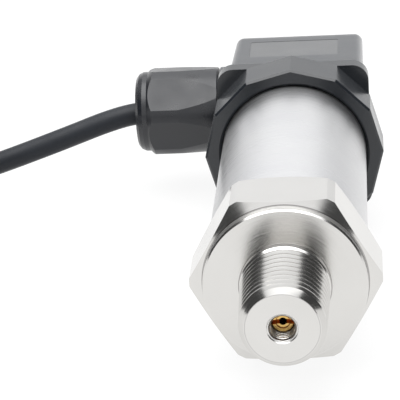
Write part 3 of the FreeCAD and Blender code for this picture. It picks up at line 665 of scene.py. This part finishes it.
def stripped_cores():
    """Three cores out of the cable's free end, fanned, each with a crimped sleeve."""
    along = TAIL_HEADING
    side = Vector((-along.y, along.x, 0.0)).normalized()
    up = along.cross(side)
    straight = CORE_LENGTH - CORE_RUN_IN - CORE_BEND - SEATED - SLEEVE_LENGTH
    pieces = []
    for name, ((sideways, rise), (lean, slope)) in CORE_LAY.items():
        start = TAIL_END + (side * sideways + up * rise) * MM
        fan = (along + side * lean + Vector((0, 0, slope))).normalized()
        bend = (along + fan).normalized()
        bm = bmesh.new()
        stations = [(CORE_RUN_IN, CORE_R, bend), (CORE_BEND, CORE_R, fan), (straight, CORE_R, fan)]
        mouth = run_of_tube(bm, start - along * SEATED, along, CORE_R, stations)
        pieces.append(
            piece("core_" + name, bm, CORE_FINISH[name], smooth_angle=40))
        bm = bmesh.new()
        stations = [(further, radius, fan) for further, radius in SLEEVE_PROFILE]
        run_of_tube(bm, mouth - fan * SEATED, fan, SLEEVE_R, stations)
        pieces.append(piece("sleeve_" + name, bm, TINNED, smooth_angle=40))
    return pieces


def tie_lock():
    """The strap's moulded head and its trimmed tail, on top of the coil."""
    angle = math.radians(TIE_ANGLE)
    outward = Vector((math.cos(angle), math.sin(angle), 0.0))
    top = Vector((COIL_AT.x, COIL_AT.y, STRAP_TOP)) + outward * COIL_RADII[1]
    bm = bmesh.new()
    bmesh.ops.create_cube(bm, size=1.0)
    bmesh.ops.scale(bm, verts=bm.verts, vec=LOCK_SIZE)
    bmesh.ops.bevel(bm, geom=bm.edges[:], offset=LOCK_EDGE, segments=3, profile=0.5,
                    affect="EDGES", material=-1)
    tail = bmesh.ops.create_cube(bm, size=1.0)["verts"]
    bmesh.ops.scale(bm, verts=tail, vec=STRAP_END_SIZE)
    bmesh.ops.translate(bm, verts=tail, vec=STRAP_END_AT)
    bmesh.ops.rotate(bm, verts=bm.verts, matrix=Matrix.Rotation(angle, 3, "Z"))
    bmesh.ops.translate(bm, verts=bm.verts, vec=top + Vector((0, 0, LOCK_LIFT)))
    return piece("coil_tie_lock", bm, TIE, smooth_angle=40)


cores = stripped_cores()
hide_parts("core_ends")
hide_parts("ferrules")
tie_lock()


# ---- floor, light and camera ---------------------------------------------------
def floor():
    bm = bmesh.new()
    bmesh.ops.create_circle(bm, cap_ends=True, segments=96, radius=FLOOR_R,
                            matrix=Matrix.Translation((0, 0, FLOOR_Z)))
    mesh = bpy.data.meshes.new("floor")
    bm.to_mesh(mesh)
    bm.free()
    obj = bpy.data.objects.new("floor", mesh)
    bpy.context.scene.collection.objects.link(obj)
    pale = Finish("pale_floor", (0.12, 0.12, 0.12), 0.9)
    pale.shader.inputs["Specular IOR Level"].default_value = 0.0
    pale.shader.inputs["Emission Color"].default_value = (1.0, 1.0, 1.0, 1.0)
    pale.shader.inputs["Emission Strength"].default_value = FLOOR_GLOW
    mesh.materials.append(pale.material)


def overhead_light():
    """One large soft light straight above."""
    width, height = OVERHEAD_SIZE
    data = bpy.data.lights.new("overhead", "AREA")
    data.shape = "RECTANGLE"
    data.size = width
    data.size_y = height
    data.energy = OVERHEAD_RADIANCE * math.pi * width * height
    obj = bpy.data.objects.new("overhead", data)
    bpy.context.scene.collection.objects.link(obj)
    obj.location = OVERHEAD_AT
    downwards = Vector(OVERHEAD_AIM) - Vector(OVERHEAD_AT)
    obj.rotation_euler = downwards.to_track_quat("-Z", "Y").to_euler()


def room():
    """A long bright ceiling along the body between dark walls, open low on the port's side."""
    world = bpy.data.worlds.new("room")
    bpy.context.scene.world = world
    world.use_nodes = True
    tree = world.node_tree
    background = tree.nodes["Background"]
    direction = tree.nodes.new("ShaderNodeTexCoord").outputs["Generated"]
    split = tree.nodes.new("ShaderNodeSeparateXYZ")
    tree.links.new(direction, split.inputs[0])

    def ramp(source, low, high, new_low, new_high):
        node = tree.nodes.new("ShaderNodeMapRange")
        node.interpolation_type = "SMOOTHSTEP"
        for name, value in zip(("From Min", "From Max", "To Min", "To Max"),
                               (low, high, new_low, new_high)):
            node.inputs[name].default_value = value
        tree.links.new(source, node.inputs["Value"])
        return node.outputs["Result"]

    def maths(operation, first, second):
        node = tree.nodes.new("ShaderNodeMath")
        node.operation = operation
        for socket, value in zip(node.inputs, (first, second)):
            if isinstance(value, (int, float)):
                socket.default_value = value
            else:
                tree.links.new(value, socket)
        return node.outputs[0]

    across, along, up = split.outputs
    depth = maths("MAXIMUM", along, maths("MULTIPLY", along, -1.0))

    def reach(per_depth, per_height):
        return maths("MAXIMUM", maths("MULTIPLY", depth, per_depth),
                     maths("MULTIPLY", up, per_height))

    left = maths("ADD", across, reach(*CEILING_LEFT))
    right = maths("SUBTRACT", reach(*CEILING_RIGHT), across)
    strip = maths("MULTIPLY", ramp(left, -CEILING_EDGE, CEILING_EDGE, 0.0, 1.0),
                  ramp(right, -CEILING_EDGE, CEILING_EDGE, 0.0, 1.0))
    front = ramp(along, *OPENING_ALONG, 1.0, 0.0)
    low = ramp(up, *OPENING_UP, 1.0, 0.0)
    opening = maths("SUBTRACT", 1.0, maths("MULTIPLY", front, low))
    lit = maths("MULTIPLY", strip, opening)
    ceiling = ramp(up, *CEILING_RISE, CEILING_LOW, CEILING_HIGH)
    behind = ramp(along, *WALLS_TURN, 0.0, 1.0)
    sides = ramp(behind, 0.0, 1.0, WALLS_DARK, WALLS_BEHIND)
    strength = maths("ADD", maths("MULTIPLY", lit, ceiling),
                     maths("MULTIPLY", maths("SUBTRACT", 1.0, lit), sides))
    tree.links.new(strength, background.inputs["Strength"])
    background.inputs["Color"].default_value = ROOM_COLOUR


def camera():
    data = bpy.data.cameras.new("camera")
    data.lens = CAMERA_LENS
    data.sensor_width = 36.0
    data.clip_start = 0.01
    data.clip_end = 20.0
    obj = bpy.data.objects.new("camera", data)
    bpy.context.scene.collection.objects.link(obj)
    obj.location = CAMERA_AT
    level = (CAMERA_AIM - CAMERA_AT).to_track_quat("-Z", "Y")
    obj.rotation_mode = "QUATERNION"
    obj.rotation_quaternion = level @ Quaternion((0, 0, 1), CAMERA_ROLL)
    bpy.context.scene.camera = obj


floor()
overhead_light()
room()
camera()
bpy.context.scene.view_settings.view_transform = "Standard"

bpy.context.view_layer.update()
